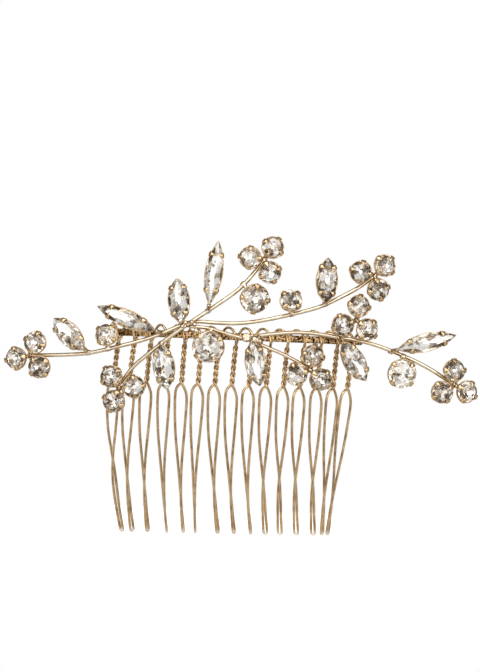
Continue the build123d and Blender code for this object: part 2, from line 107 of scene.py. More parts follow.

# ---- spray ----
SPRAY_BEND = 155.0       # radius of its curve, seen from above
STEM_RADIUS = 0.475
THINNER_STEM = 0.9       # the lower right stem is drawn from thinner wire
STEM_SPACING = 0.3
STEM_SIDES = 24
STEM_BULGE = 0.8         # how far a stem's ends are domed, in radii
BULGE_STEPS = (0.35, 0.7, 0.92)
STEM_ROUTES = {          # x, z, out
    "stem_left": ((-48.0, -6.3, 1.5), (-40.6, -5.9, 1.5), (-34.6, -5.2, 1.5), (-28.6, -3.6, 1.5),
                  (-22.7, -1.85, 1.5), (-17.8, 0.05, 1.5), (-12.4, 2.6, 1.55)),
    "stem_rising": ((-27.0, -12.0, 1.6), (-23.8, -7.7, 1.9), (-20.3, -4.5, 2.2),
                    (-16.9, -1.55, 2.5), (-12.1, 2.2, 2.6), (-5.7, 6.8, 2.3), (0.1, 11.3, 1.9),
                    (3.5, 15.3, 1.6), (5.7, 18.5, 1.5)),
    "stem_upper_right": ((-12.15, 2.8, 1.55), (-9.0, 3.2, 1.5), (-5.6, 3.1, 1.5),
                         (0.4, 3.2, 1.5), (6.4, 4.2, 1.5), (12.3, 5.7, 1.5), (19.1, 7.8, 1.5),
                         (23.5, 10.0, 1.5), (27.8, 12.5, 1.5), (31.4, 15.2, 1.5)),
    "stem_lower_right": ((-11.2, 2.0, 1.8), (-6.4, 1.7, 1.7), (-4.0, 1.0, 1.65),
                         (2.6, -0.6, 1.65), (7.4, -2.3, 1.55), (11.5, -3.9, 1.5),
                         (16.8, -6.5, 1.5)),
    "stem_right": ((2.4, 0.05, 2.4), (4.5, 0.35, 2.35), (7.7, 0.9, 1.9), (15.2, 1.6, 1.5),
                   (24.2, 0.8, 1.5), (31.3, -0.3, 1.5), (39.8, -3.1, 1.5), (45.6, -5.7, 1.5),
                   (51.1, -8.9, 1.5)),
}
# solder that has run along the stems at the two big joints: x, z, out, radius
LUMPS = ((3.3, -0.35, 2.5, 0.75), (4.3, -0.55, 2.9, 1.15), (5.2, -0.95, 2.9, 1.0),
         (5.0, 0.0, 2.8, 0.75), (-13.0, 2.0, 3.2, 0.5), (-12.3, 2.8, 3.3, 0.6),
         (-11.6, 2.3, 3.4, 0.55), (-10.8, 3.0, 3.2, 0.6), (-10.1, 2.5, 2.9, 0.5))
SOLDER_VOXEL = 0.085
SOFTENING = 6            # rounds of smoothing that melt the beads together

# ---- crystals ----
SMALL, LARGE, GREAT, SHORT, LONG = "small", "large", "great", "short leaf", "long leaf"
ROUND_RADIUS = {SMALL: 2.5, LARGE: 3.3, GREAT: 3.65}
LEAF_SIZE = {SHORT: (5.35, 2.45), LONG: (7.6, 2.0)}    # half length, half width
CROWN = {SMALL: 0.95, LARGE: 1.15, GREAT: 1.2, SHORT: 0.85, LONG: 0.75}
PAVILION = {SMALL: 2.1, LARGE: 2.6, GREAT: 2.8, SHORT: 1.9, LONG: 1.6}
GIRDLE_OUT = {SMALL: 3.75, LARGE: 4.2, GREAT: 4.4, SHORT: 3.5, LONG: 3.2}
GIRDLE = 0.15
GIRDLE_SIDES = 48
TABLE_SHARE = 0.52
HALF_STEEPER = 1.3       # half, star and inner facets, as shares of a main facet's rise
STAR_FLATTER = 0.5
INNER_START = 0.62       # the inner ring of back facets starts at this share of the outline
INNER_FLATTER = 0.62
KEEL_DEPTH = 0.68        # the back is ground flat at this share of its full depth
# a leaf's facets and the steps of its girdle, as shares of the half angle of its arc
LEAF_MAINS = (-0.62, 0, 0.62)
LEAF_HALVES = (-0.95, -0.31, 0.31, 0.95)
LEAF_GIRDLE = tuple(step / 8 for step in range(-8, 9))
FAR = 30.0               # beyond the edge of any facet
MERGE = 2e-4             # corners that are closer than this are one corner
SLIVER = 1e-4            # edges that are shorter than this are taken out

# ---- cups ----
WALL = 0.25
FIT = 0.05
CUP_FLOOR = 0.25
CUP_BASE = 0.5           # size of a cup's foot, as a share of the crystal's outline
CUP_RIM = -0.25
CUP_EDGE = 0.08          # bevel of the foot
BOWL_STEPS = 6
COLLAR_FOOT = -0.6       # the wall stands upright from here to the rim
RIM_GROW = 0.2
# the rolled rim: drop from its top, and distance in from the outside or out from the inside
RIM_OUTSIDE = ((0.08, 0.0), (0.02, 0.03), (0.0, 0.09))
RIM_INSIDE = ((0.0, 0.06), (0.05, 0.0))
POINT_GROW = 1.3         # at a leaf's points a cup's wall stands off more, by this factor
LEAF_CLAWS = (-0.55, 0.55)
# claws: distance in from the crystal's outline, height, half width, half thickness
CLAW_SHAFT = ((0.12, -1.15, 0.30, 0.10), (-0.05, -0.7, 0.48, 0.13), (-0.18, -0.3, 0.58, 0.16),
              (-0.24, 0.05, 0.62, 0.18), (-0.18, 0.34, 0.64, 0.19))
# the same, but with heights over a level that lies CLAW_LIFT above the crown's slope
CLAW_TIP = ((0.06, 0.13, 0.63, 0.21), (0.32, 0.10, 0.56, 0.22), (0.58, 0.05, 0.45, 0.20),
            (0.76, -0.02, 0.28, 0.14), (0.85, -0.07, 0.08, 0.05))
CLAW_LIFT = 0.2
CLAW_SPACING = 0.09
CLAW_SIDES = 14
CLAW_SQUARENESS = 0.8    # under 1 makes a claw's section fuller than an ellipse
SHARP = radians(50)      # edges that turn by more than this aren't shaded smooth
CLUSTER_RADIUS = 3.42    # from the middle of a cluster to the middle of each crystal
CLUSTER_TILT = 8
# name, crystal, stem, share of the way along it, heading, distance from the stem, tilt
LEAVES = (
    ("leaf_left_tip", SHORT, "stem_left", 0.36, 139, 6.6, 10),
    ("leaf_left_long", LONG, "stem_left", 0.845, 160, 9.2, 6),
    ("leaf_lower_left", SHORT, "stem_rising", 0.3, 279, 5.5, 8),
    ("leaf_junction", SHORT, "stem_left", 0.975, 98, 5.8, 10),
    ("leaf_top_long", LONG, "stem_rising", 0.6, 84, 9.05, 6),
    ("leaf_upper_right", SHORT, "stem_upper_right", 0.72, 88, 5.7, 10),
    ("leaf_middle", SHORT, "stem_lower_right", 0.515, 282, 5.25, 8),
    ("leaf_right_low", SHORT, "stem_right", 0.425, 305, 6.8, 8),
    ("leaf_right_long", LONG, "stem_right", 0.675, 15, 9.0, 6),
)
BUDS = (
    ("bud_left", SMALL, "stem_left", 0.49, 100, 3.4, 14),
    ("bud_high", LARGE, "stem_rising", 0.83, 310, 4.3, 14),
    ("bud_upper_right", SMALL, "stem_upper_right", 0.54, 94, 3.3, 16),
    ("bud_low_middle", GREAT, "stem_lower_right", 0.17, 264, 4.4, 14),
    ("bud_right_low", LARGE, "stem_right", 0.735, 270, 4.3, 10),
)
CLUSTERS = (             # name, x, z, heading
    ("cluster_left", -48.7, -6.5, 192),
    ("cluster_lower_left", -27.2, -13.2, 248),
    ("cluster_top", 5.7, 18.5, 56),
    ("cluster_upper_right", 31.9, 15.7, 47),
    ("cluster_mid_right", 28.0, 5.0, 82),
    ("cluster_lower_right", 17.5, -7.1, -40),
    ("cluster_right", 51.85, -9.3, -27),
)

# ---- surfaces: noise scales are features to a metre, bump heights are metres ----
BLOTCH_DETAIL = 3.0
BLOTCH_ROUGHNESS = 0.55
PAINTED_RIM_START, PAINTED_RIM_FULL = 0.18, 0.6    # where a plating's edge colour, painted light and shade at the rims, sets in and is full
# the colour of the painted glint at the tips of the teeth
TIP_GLINT_COLOUR = (1.0, 0.95, 0.84)
GLOSS_FINER = 2.7        # changes of gloss, finer than the blotches by this factor
GLOSS_DETAIL = 4.0
GRAIN = 14000.0
GRAIN_DETAIL = 2.0
GRAIN_STRENGTH, GRAIN_DEPTH = 0.05, 0.00002
DENT_DEPTH = 0.00006
GLASS_COLOUR = (0.98, 0.985, 1.0)
# painted glints on the foil: the size of their cells and how far they swing the painted tone
PAINTED_GLINT_SCALE = 1400.0
PAINTED_GLINT_SWING = 0.7
# painted light: the foil glows by this much, though it is no lamp
FOIL_PAINTED_GLOW = 0.3
FOIL_ROUGHNESS = 0.04
# painted reflections: the foil's colours from dark to white, which the painted tones pick from
PAINTED_FOIL_TONES = ((0.0, (0.08, 0.055, 0.03)), (0.2, (0.24, 0.175, 0.115)),
              (0.36, (0.56, 0.46, 0.35)), (0.52, (0.88, 0.84, 0.76)), (0.75, (1.0, 0.99, 0.96)))
# painted reflections: the mean painted tone of the foil at the girdle, its rise towards the keel
# and its swing from facet to facet, which is drawn from noise cells: so many to a metre, counted
# from a start
PAINTED_TONE = {SMALL: -0.62, LARGE: -0.35, GREAT: -0.35, SHORT: -0.45, LONG: -0.4}
PAINTED_TONE_RISE = 0.45
RISE_POWER = 1.5
PAINTED_TONE_SWING = 0.8
PAINTED_TONE_CELLS = 3100.0
PAINTED_TONE_START = (7.3, 1.9, 4.4)
FRONT = -9.0             # marks a front face, which is glass

# ---- studio, in metres, watts and degrees ----
# the sky: a round bright field in front of the comb, dim to the sides and behind
SKY_COLOUR = (1.0, 0.985, 0.96)
FIELD_EDGE, FIELD_FULL = -0.4, -0.96
SKY_DIM, SKY_BRIGHT = 0.36, 1.9
SOFTBOXES = (            # name, place, size, power
    ("key", (-0.25, -0.6, 0.65), (0.45, 0.35), 1.6),
    ("fill", (0.55, -0.5, 0.25), (0.3, 0.5), 0.9),
    ("rim", (0.1, 0.6, 0.6), (0.5, 0.3), 1.0),
)
FLOOR_HALF = 0.4
FLOOR_COLOUR = (0.9, 0.9, 0.9)
FLOOR_ROUGHNESS = 0.9
FLOOR_GLOW = 0.7         # seen by the camera only
CAMERA_X, CAMERA_Z = 0.0007, 0.0002
SPRAY_Y = -0.004         # the plane that CAMERA_DISTANCE and PICTURE_HEIGHT are measured at
CAMERA_DISTANCE = 2.5
PICTURE_HEIGHT = 0.1581
CAMERA_ROLL = 2.3


# ---------------------------------------------------------------- places

def on_spine(along, out, up):
    turn = along / SPINE_BEND
    reach = SPINE_BEND + out
    return Vector((reach * sin(turn), SPINE_BEND - reach * cos(turn), up))


def in_tooth(along, side, out, depth):
    turn = along / SPINE_BEND
    sweep_back = depth / TOOTH_BEND
    back = TOOTH_BEND - (TOOTH_BEND + out) * cos(sweep_back)
    down = (TOOTH_BEND + out) * sin(sweep_back)
    return on_spine(along, -back, -down) + Vector((cos(turn), sin(turn), 0)) * side


def tip_depth(index):
    return TIP_DEPTH + TIP_SLOPE * (index - (TOOTH_COUNT - 1) / 2)


def drift(index, depth):
    """Sideways bend of a tooth: a parabola through the strip, the shoulder and the tip."""
    deepest = tip_depth(index)
    shoulder = SHOULDER_DRIFT[index] / SHOULDER_DEPTH
    tip = TIP_DRIFT[index] / deepest
    curve = (tip - shoulder) / (deepest - SHOULDER_DEPTH)
    slope = shoulder - curve * SHOULDER_DEPTH
    return slope * depth + curve * depth * depth


def in_spray(x, z, out):
    return Vector((x, x * x / (2 * SPRAY_BEND) - out, z))


def seat_matrix(x, z, out, heading, tilt):
    """Frame of a crystal: its x axis points along the heading, its z axis out of the table."""
    turn = atan(x / SPRAY_BEND)
    along = Vector((cos(turn), sin(turn), 0))
    front = Vector((sin(turn), -cos(turn), 0))
    way = along * cos(radians(heading)) + Vector((0, 0, 1)) * sin(radians(heading))
    table = front * cos(radians(tilt)) + way * sin(radians(tilt))
    long_axis = way * cos(radians(tilt)) - front * sin(radians(tilt))
    side = table.cross(long_axis)
    rows = Matrix((long_axis, side, table)).transposed().to_4x4()
    rows.translation = in_spray(x, z, out)
    return rows


# ---------------------------------------------------------------- curves and tubes

SPAN_STEPS = 24          # fine points between two of the points that a curve goes through
SHORTEST = 1e-6
START_SIDE = (0.3, 0.9, 0.2)    # no wire starts out along this


def smooth_line(points, spacing):
    """Even points along a centripetal Catmull-Rom curve through some points."""
    points = [np.array(p, float) for p in points]
    points = [2 * points[0] - points[1]] + points + [2 * points[-1] - points[-2]]
    fine = []
    for a, b, c, d in zip(points, points[1:], points[2:], points[3:]):
        t1 = sqrt(max(np.linalg.norm(b - a), SHORTEST))
        t2 = t1 + sqrt(max(np.linalg.norm(c - b), SHORTEST))
        t3 = t2 + sqrt(max(np.linalg.norm(d - c), SHORTEST))
        for t in np.linspace(t1, t2, SPAN_STEPS, endpoint=False):
            ab = (t1 - t) / t1 * a + t / t1 * b
            bc = (t2 - t) / (t2 - t1) * b + (t - t1) / (t2 - t1) * c
            cd = (t3 - t) / (t3 - t2) * c + (t - t2) / (t3 - t2) * d
            abc = (t2 - t) / t2 * ab + t / t2 * bc
            bcd = (t3 - t) / (t3 - t1) * bc + (t - t1) / (t3 - t1) * cd
            fine.append((t2 - t) / (t2 - t1) * abc + (t - t1) / (t2 - t1) * bcd)
    fine.append(points[-2])
    fine = np.array(fine)
    runs = np.concatenate([[0], np.cumsum(np.linalg.norm(np.diff(fine, axis=0), axis=1))])
    count = max(4, int(round(runs[-1] / spacing)) + 1)
    wanted = np.linspace(0, runs[-1], count)
    return np.stack([np.interp(wanted, runs, fine[:, k]) for k in range(3)], axis=1)


def tangents_along(line):
    tangents = np.gradient(line, axis=0)
    return tangents / np.linalg.norm(tangents, axis=1)[:, None]


def frames_along(line):
    """Tangent, side and normal at each point of a line, without twist."""
    tangents = tangents_along(line)
    side = np.array(START_SIDE)
    sides = []
    for tangent in tangents:
        side = side - tangent * side.dot(tangent)
        side /= np.linalg.norm(side)
        sides.append(side)
    sides = np.array(sides)
    return tangents, sides, np.cross(tangents, sides)


def ring_faces(rings, around, flipped=False):
    """Faces of a closed skin over a row of rings; flipped for rings that run the other way."""
    faces = []
    for low in range(0, (rings - 1) * around, around):
        for k in range(around):
            after = (k + 1) % around
            face = (low + k, low + after, low + around + after, low + around + k)
            faces.append(face[:1] + face[:0:-1] if flipped else face)
    first = tuple(range(around))
    last = tuple(range((rings - 1) * around, rings * around))
    faces += [first, last[::-1]] if flipped else [first[::-1], last]
    return faces


def tube_data(line, radius, around=16, bulge=0):
    """Vertices and faces of a closed tube; bulge is how far its ends are domed, in radii."""
    tangents, sides, normals = frames_along(line)
    rings = [(point, side, normal, radius) for point, side, normal in zip(line, sides, normals)]
    for k in BULGE_STEPS if bulge else ():
        smaller = radius * sqrt(1 - k * k)
        before = line[0] - tangents[0] * radius * bulge * k
        beyond = line[-1] + tangents[-1] * radius * bulge * k
        rings.insert(0, (before, sides[0], normals[0], smaller))
        rings.append((beyond, sides[-1], normals[-1], smaller))
    angles = np.linspace(0, 2 * pi, around, endpoint=False)
    verts = np.concatenate([
        point + size * (np.outer(np.cos(angles), side) + np.outer(np.sin(angles), normal))
        for point, side, normal, size in rings])
    return verts, ring_faces(len(rings), around)


# ---------------------------------------------------------------- pieces

def make_piece(name, verts, faces, materials, smooth=True):
    """A new mesh object from millimetre vertices."""
    mesh = bpy.data.meshes.new(name)
    mesh.from_pydata((np.asarray(verts, float) * MM).tolist(), [], faces)
    if smooth:
        mesh.shade_smooth()
    else:
        mesh.shade_flat()
    for material in materials:
        mesh.materials.append(material)
    piece = bpy.data.objects.new(name, mesh)
    bpy.context.scene.collection.objects.link(piece)
    return piece


def add_values(piece, name, domain, values):
    layer = piece.data.attributes.new(name, "FLOAT", domain)
    layer.data.foreach_set("value", np.asarray(values, np.float32))


def finish_piece(piece, slot, *nodes):
    """Put a piece on the comb's one body, in the place of its CAD nodes."""
    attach(piece, "root")
    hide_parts(*nodes)


def joined(parts):
    """Vertices and faces of several (vertices, faces, frame) parts in one."""
    all_verts, all_faces = [], []
    for verts, faces, place in parts:
        start = len(all_verts)
        all_verts.extend(tuple(place @ Vector(v)) for v in verts)
        all_faces.extend(tuple(start + k for k in face) for face in faces)
    return all_verts, all_faces


# ---------------------------------------------------------------- materials

def new_material(name):
    material = bpy.data.materials.new(name)
    material.use_nodes = True
    tree = material.node_tree
    return material, tree, tree.nodes["Principled BSDF"]


def node(tree, kind, **inputs):
    """A new node; each keyword is one of its inputs or else one of its settings."""
    made = tree.nodes.new(kind)
    for key, value in inputs.items():
        if key in made.inputs.keys():
            made.inputs[key].default_value = value
        else:
            setattr(made, key, value)
    return made


def ramp(tree, source, stops):
    made = tree.nodes.new("ShaderNodeValToRGB")
    elements = made.color_ramp.elements
    while len(elements) < len(stops):
        elements.new(0.5)
    for element, (place, colour) in zip(elements, stops):
        element.position = place
        element.color = (*colour, 1)
    tree.links.new(source, made.inputs["Fac"])
    return made.outputs["Color"]


def mapped(tree, source, low, high, start=0.0, end=1.0, **settings):
    """A value that goes from low to high as the source goes from start to end."""
    made = node(tree, "ShaderNodeMapRange", **settings)
    ends = {"From Min": start, "From Max": end, "To Min": low, "To Max": high}
    for key, value in ends.items():
        made.inputs[key].default_value = value
    tree.links.new(source, made.inputs["Value"])
    return made.outputs["Result"]


def blended(tree, factor, under, over):
    """A colour that turns into the fixed colour over as the factor rises to 1."""
    made = node(tree, "ShaderNodeMix", data_type="RGBA")
    colour_a, colour_b, result = made.inputs[6], made.inputs[7], made.outputs[2]
    tree.links.new(factor, made.inputs["Factor"])
    tree.links.new(under, colour_a)
    colour_b.default_value = (*over, 1)
    return result


def noise_over(tree, **settings):
    """A noise texture's value, in the object's own coordinates."""
    made = node(tree, "ShaderNodeTexNoise", **settings)
    place = node(tree, "ShaderNodeTexCoord").outputs["Object"]
    tree.links.new(place, made.inputs["Vector"])
    return made.outputs["Fac"]


def plated_metal(name, dark, light, edge, rough, blotch=900.0, dent=0.25, mottle=0.2):
    """Plated brass: blotches of tone, a painted rim at grazing angles (a painted sheen on the
    wire, painted shade on the other platings), uneven gloss, soft dents and a fine grain. The
    painted tip glint attribute, where a mesh has it, makes it pale."""
    material, tree, shader = new_material(name)
    tone = noise_over(tree, Scale=blotch, Detail=BLOTCH_DETAIL, Roughness=BLOTCH_ROUGHNESS)
    blotches = ramp(tree, tone, ((0.5 - mottle, dark), (0.5 + mottle, light)))
    # painted light and shade: the colour turns to the edge colour where the surface turns away
    # from the view
    facing = node(tree, "ShaderNodeLayerWeight", Blend=0.5).outputs["Facing"]
    painted_rim_mask = ramp(tree, facing, ((PAINTED_RIM_START, (0, 0, 0)), (PAINTED_RIM_FULL, (1, 1, 1))))
    # painted glint: where a mesh has this attribute, its colour turns pale
    tip_glint = node(tree, "ShaderNodeAttribute", attribute_name="tip_glint").outputs["Fac"]
    colour = blended(tree, tip_glint, blended(tree, painted_rim_mask, blotches, edge), TIP_GLINT_COLOUR)
    tree.links.new(colour, shader.inputs["Base Color"])
    gloss = noise_over(tree, Scale=blotch * GLOSS_FINER, Detail=GLOSS_DETAIL)
    tree.links.new(mapped(tree, gloss, *rough), shader.inputs["Roughness"])
    grain = node(tree, "ShaderNodeBump", Strength=GRAIN_STRENGTH, Distance=GRAIN_DEPTH)
    fine = noise_over(tree, Scale=GRAIN, Detail=GRAIN_DETAIL)
    tree.links.new(fine, grain.inputs["Height"])
    dents = node(tree, "ShaderNodeBump", Strength=dent, Distance=DENT_DEPTH)
    tree.links.new(tone, dents.inputs["Height"])
    tree.links.new(grain.outputs["Normal"], dents.inputs["Normal"])
    tree.links.new(dents.outputs["Normal"], shader.inputs["Normal"])
    shader.inputs["Metallic"].default_value = 1.0
    return material


def glass_material():
    material, _, shader = new_material("crystal_glass")
    shader.inputs["Base Color"].default_value = (*GLASS_COLOUR, 1)
    shader.inputs["Roughness"].default_value = 0.0
    shader.inputs["IOR"].default_value = 1.56
    shader.inputs["Transmission Weight"].default_value = 1.0
    return material


def foil_material():
    """The mirror foil behind a crystal, with painted reflections: each facet has its own painted
    tone, broken up by painted glints, and it glows as painted light.
    """
    material, tree, shader = new_material("crystal_foil")
    facet = node(tree, "ShaderNodeAttribute", attribute_name="tone")
    # painted glints: noise cells that break up the foil's painted tone
    painted_glints = node(tree, "ShaderNodeTexVoronoi", Scale=PAINTED_GLINT_SCALE, Randomness=1.0)
    tree.links.new(node(tree, "ShaderNodeTexCoord").outputs["Object"], painted_glints.inputs["Vector"])
    cell = node(tree, "ShaderNodeSeparateColor")
    tree.links.new(painted_glints.outputs["Color"], cell.inputs[0])
    swing = node(tree, "ShaderNodeMath", operation="MULTIPLY_ADD")
    swing.inputs[1].default_value = PAINTED_GLINT_SWING
    tree.links.new(cell.outputs[0], swing.inputs[0])
    tree.links.new(facet.outputs["Fac"], swing.inputs[2])
    colour = ramp(tree, swing.outputs[0], PAINTED_FOIL_TONES)
    tree.links.new(colour, shader.inputs["Base Color"])
    # painted light: the foil glows in its own colours
    tree.links.new(colour, shader.inputs["Emission Color"])
    shader.inputs["Emission Strength"].default_value = FOIL_PAINTED_GLOW
    shader.inputs["Metallic"].default_value = 1.0
    shader.inputs["Roughness"].default_value = FOIL_ROUGHNESS
    return material


# the wire's edge colour is pale: a painted sheen at its rims, around a darker core
GOLD_WIRE = plated_metal(
    "gold_wire", dark=(0.38, 0.23, 0.11), light=(0.72, 0.51, 0.28), edge=(1.0, 0.88, 0.66),
    rough=(0.08, 0.2), blotch=420.0, dent=0.08, mottle=0.14)
# the edge colours below are darker than the platings: painted shade at the rims
GOLD_STEM = plated_metal(
    "gold_stem", dark=(0.66, 0.54, 0.38), light=(0.80, 0.71, 0.56), edge=(0.55, 0.34, 0.15),
    rough=(0.06, 0.14), dent=0.1)
GOLD_CUP = plated_metal(
    "gold_cup", dark=(0.44, 0.28, 0.13), light=(0.80, 0.61, 0.37), edge=(0.60, 0.40, 0.19),
    rough=(0.12, 0.26), blotch=1500.0, mottle=0.12)
GOLD_SPINE = plated_metal(
    "gold_spine", dark=(0.012, 0.007, 0.004), light=(0.62, 0.40, 0.20), edge=(0.16, 0.10, 0.05),
    rough=(0.2, 0.4), blotch=2200.0, dent=1.0, mottle=0.08)
GOLD_SOLDER = plated_metal(
    "gold_solder", dark=(0.36, 0.25, 0.14), light=(0.95, 0.86, 0.70), edge=(0.55, 0.38, 0.20),
    rough=(0.1, 0.28), blotch=1700.0, dent=1.2, mottle=0.1)
GLASS = glass_material()
FOIL = foil_material()


# ---------------------------------------------------------------- comb

def crown_direction(along):
    turn = along / SPINE_BEND + atan(CROWN_SLANT)
    return Vector((cos(turn), sin(turn), 0))


def hairpin_turn(index, depth):
    """Turn of a hairpin about its length: none at the shoulder, full at the tip."""
    share = (depth - TURN_START) / (tip_depth(index) - TURN_START)
    return radians(TIP_TURN[index]) * share * share * (3 - 2 * share)


def strand(index, along, front):
    """Half of a tooth's wire, from the crown of a loop down to the start of the round tip."""
    sign = 1 if front else -1
    crown_along = along - sign * TOOTH_PITCH / 2
    crown = on_spine(crown_along, 0, LOOP_RISE)
    points = [crown, crown + crown_direction(crown_along) * (sign * CROWN_RUN)]
    for side, out, up in WRAP:
        points.append(on_spine(along + sign * side, sign * out, up))
    steps = TWIST_STEPS * TWIST_TURNS
    for step in range(steps + 1):
        angle = 2 * pi * TWIST_TURNS * step / steps
        depth = TWIST_TOP + (TWIST_BOTTOM - TWIST_TOP) * step / steps
        side = drift(index, depth) + sign * TWIST_RADIUS * sin(angle)
        points.append(in_tooth(along, side, sign * TWIST_RADIUS * cos(angle), depth))
    for side, out, depth in (RIGHT_LEG if front else LEFT_LEG):
        points.append(in_tooth(along, drift(index, depth) + side, out, depth))
    for half_gap, depth in TAPER:
        turn = hairpin_turn(index, depth)
        side = drift(index, depth) + sign * half_gap * cos(turn)
        points.append(in_tooth(along, side, sign * half_gap * sin(turn), depth))
    return points


def tooth_tip(index, along):
    """The hairpin's round tip, from the right leg to the left leg."""
    points = []
    for step in range(TIP_STEPS + 1):
        angle = pi * step / TIP_STEPS
        depth = tip_depth(index) - TIP_HALF_GAP + TIP_HALF_GAP * sin(angle)
        turn = hairpin_turn(index, depth)
        reach = TIP_HALF_GAP * cos(angle)
        side = drift(index, depth) + reach * cos(turn)
        points.append(in_tooth(along, side, reach * sin(turn), depth))
    return points


def build_teeth():
    for index in range(TOOTH_COUNT):
        along = (index - (TOOTH_COUNT - 1) / 2) * TOOTH_PITCH
        points = strand(index, along, True) + tooth_tip(index, along)
        points += strand(index, along, False)[::-1]
        verts, faces = tube_data(smooth_line(points, WIRE_SPACING), WIRE_RADIUS)
        heights = verts[:, 2]
        name = "tooth_%02d" % (index + 1)
        piece = make_piece(name + "_wire", verts, faces, [GOLD_WIRE])
        # painted glint: the lowest stretch of each tooth's tip is painted pale
        tip_glint = np.clip(1 - (heights - heights.min()) / TIP_GLINT_LENGTH, 0, 1)
        add_values(piece, "tip_glint", "POINT", tip_glint)
        finish_piece(piece, "gold_wire", name)


def build_stems():
    lines = {}
    for name, route in STEM_ROUTES.items():
        radius = STEM_RADIUS * (THINNER_STEM if name == "stem_lower_right" else 1)
        lines[name] = smooth_line([in_spray(*point) for point in route], STEM_SPACING)
        verts, faces = tube_data(lines[name], radius, STEM_SIDES, STEM_BULGE)
        piece = make_piece(name + "_wire", verts, faces, [GOLD_STEM])
        finish_piece(piece, "gold_stem", name)
    return lines


# ---------------------------------------------------------------- crystals

def arc_of(kind):
    """Radius and half angle of the two arcs that make a leaf's outline."""
    half_length, half_width = LEAF_SIZE[kind]
    radius = (half_length**2 + half_width**2) / (2 * half_width)
    return radius, degrees(atan2(half_length, radius - half_width))


def extent(kind, direction):
    """Distance from a crystal's axis to the line that touches its outline, facing a direction."""
    if kind in ROUND_RADIUS:
        return ROUND_RADIUS[kind]
    radius, half_angle = arc_of(kind)
    half_length, half_width = LEAF_SIZE[kind]
    steep = abs(sin(radians(direction)))
    if steep < cos(radians(half_angle)):
        return half_length * abs(cos(radians(direction)))
    return radius - (radius - half_width) * steep


def arc_directions(kind, shares):
    half_angle = arc_of(kind)[1]
    return [side + half_angle * share for side in (90, 270) for share in shares]


def facet_directions(kind):
    """Directions of the main, the half and the star facets."""
    if kind in ROUND_RADIUS:
        mains = [45 * step for step in range(8)]
        halves = [11.25 + 22.5 * step for step in range(16)]
        return mains, halves, [22.5 + 45 * step for step in range(8)]
    halves = arc_directions(kind, LEAF_HALVES)
    return [0, 180] + arc_directions(kind, LEAF_MAINS), halves, halves


def girdle_directions(kind):
    if kind in ROUND_RADIUS:
        return [360 / GIRDLE_SIDES * step for step in range(GIRDLE_SIDES)]
    return arc_directions(kind, LEAF_GIRDLE)


def across_at(direction):
    return Vector((cos(radians(direction)), sin(radians(direction)), 0))


def crystal_planes(kind):
    """Each facet as (normal, distance from the origin, is it above the girdle)."""
    crown, pavilion = CROWN[kind], PAVILION[kind]
    top = GIRDLE + crown
    planes = [(Vector((0, 0, 1)), top, True)]

    def add(direction, distance, height, rise, run):
        across = across_at(direction)
        normal = (across * abs(rise) + Vector((0, 0, run if rise > 0 else -run))).normalized()
        start = across * distance + Vector((0, 0, height))
        planes.append((normal, normal.dot(start), rise > 0))

    mains, halves, stars = facet_directions(kind)
    for directions, steeper in ((mains, 1), (halves, HALF_STEEPER)):
        for direction in directions:
            run = extent(kind, direction)
            add(direction, run, GIRDLE, crown * steeper, run * (1 - TABLE_SHARE))
            add(direction, run, 0, -pavilion * steeper, run)
    for direction in stars:
        run = extent(kind, direction)
        add(direction, run * TABLE_SHARE, top, crown * STAR_FLATTER, run * (1 - TABLE_SHARE))
        inner_height = -pavilion * (1 - INNER_START)
        add(direction, run * INNER_START, inner_height, -pavilion * INNER_FLATTER, run)
    planes.append((Vector((0, 0, -1)), pavilion * KEEL_DEPTH, False))
    for direction in girdle_directions(kind):
        planes.append((across_at(direction), extent(kind, direction), True))
    return planes


def clip(polygon, normal, distance):
    """The part of a flat polygon that lies behind a plane."""
    kept = []
    for a, b in zip(polygon, polygon[1:] + polygon[:1]):
        da, db = normal.dot(a) - distance, normal.dot(b) - distance
        if da <= 0:
            kept.append(a)
        if (da < 0 < db) or (db < 0 < da):
            kept.append(a + (b - a) * (da / (da - db)))
    return kept


def cut_crystal(kind):
    """A crystal as exact facets: vertices, faces, and a mark for each face, which is the mean
    painted reflection tone of a back face and FRONT for a front face."""
    planes = crystal_planes(kind)
    mesh = bmesh.new()
    for number, (normal, distance, above) in enumerate(planes):
        side = normal.orthogonal().normalized()
        other = normal.cross(side)
        middle = normal * distance
        polygon = [middle + (side * a + other * b) * FAR
                   for a, b in ((-1, -1), (1, -1), (1, 1), (-1, 1))]
        for k, (other_normal, other_distance, _) in enumerate(planes):
            if k != number and polygon:
                polygon = clip(polygon, other_normal, other_distance)
        if len(polygon) < 3:
            continue
        face = mesh.faces.new([mesh.verts.new(point) for point in polygon])
        face.material_index = 0 if above else 1
    bmesh.ops.remove_doubles(mesh, verts=mesh.verts, dist=MERGE)
    bmesh.ops.dissolve_degenerate(mesh, edges=mesh.edges, dist=SLIVER)
    mesh.verts.index_update()
    verts = [tuple(v.co) for v in mesh.verts]
    faces = [tuple(v.index for v in face.verts) for face in mesh.faces]
    keel = PAVILION[kind] * KEEL_DEPTH
    marks = []
    for face in mesh.faces:
        share = min(1.0, max(0.0, -face.calc_center_median().z / keel))
        tone = PAINTED_TONE[kind] + PAINTED_TONE_RISE * share ** RISE_POWER
        marks.append(FRONT if face.material_index == 0 else tone)
    mesh.free()
    return verts, faces, marks


